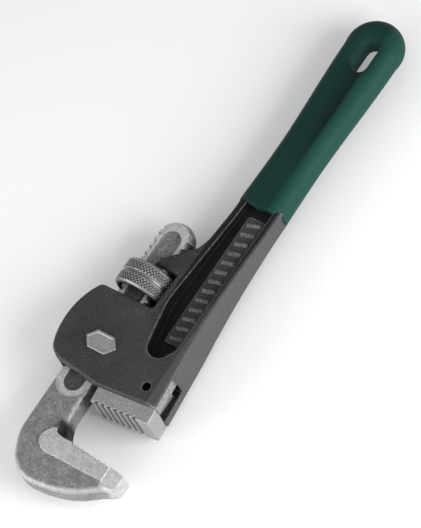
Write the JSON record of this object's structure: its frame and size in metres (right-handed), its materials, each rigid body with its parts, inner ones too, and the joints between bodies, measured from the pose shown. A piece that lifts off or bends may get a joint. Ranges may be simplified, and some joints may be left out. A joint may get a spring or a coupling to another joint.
{
  "type": "pipe wrench",
  "caption": "Adjustable pipe wrench: toothed hook jaw on a threaded shank, knurled nut, cast housing with a toothed heel jaw, sleeved handle.",
  "frame": {"origin": "centre of the heel jaw's gripping face at mid-thickness", "axes": "+Y along the handle towards the hang hole, +X towards the handle's back edge and the heel jaw's nose, +Z through the thickness towards the badge"},
  "size_m": [0.0901, 0.3537, 0.035],
  "materials": {
    "enamel": "semi-gloss black enamel over a cast surface",
    "jaw_steel": "ground tool steel, satin",
    "pin_steel": "dark plain steel",
    "forged_steel": "mottled grey forged steel with ground pads and flats",
    "nut_steel": "bright zinc-plated steel, diamond knurl",
    "spring_steel": "blued spring steel",
    "grip_rubber": "satin dark green dipped sleeve",
    "badge_metal": "plain satin plate with a raised rim"
  },
  "bodies": {
    "handle": {"handle_housing": "enamel", "grip": "grip_rubber", "heel_jaw": "jaw_steel", "heel_jaw_pin": "pin_steel", "badge": "badge_metal", "coil_spring": "spring_steel", "spring_rivet": "pin_steel"},
    "spring": {"flat_spring": "spring_steel"},
    "hook": {"hook_jaw": "forged_steel"},
    "nut": {"adjusting_nut": "nut_steel"}
  },
  "joints": [
    {"name": "hook_rock", "type": "hinge", "parent": "handle", "child": "spring", "pos_m": [-0.0188, 0.056, 0], "axis": [0, 0, 1], "range_deg": [-1, 3], "stiffness_Nm_per_rad": 8, "deforming": ["coil_spring"]},
    {"name": "nut_spin", "type": "hinge", "parent": "spring", "child": "nut", "pos_m": [-0.036, 0.0802, 0], "axis": [0, 1, 0], "range_deg": [-1585, 1801]},
    {"name": "hook_slide", "type": "slide", "parent": "spring", "child": "hook", "axis": [0, 1, 0], "range_m": [-0.025, 0.022]}
  ],
  "couplings": [
    {"joint": "nut_spin", "follows": "hook_slide", "rad_per_m": -1256.6}
  ]
}
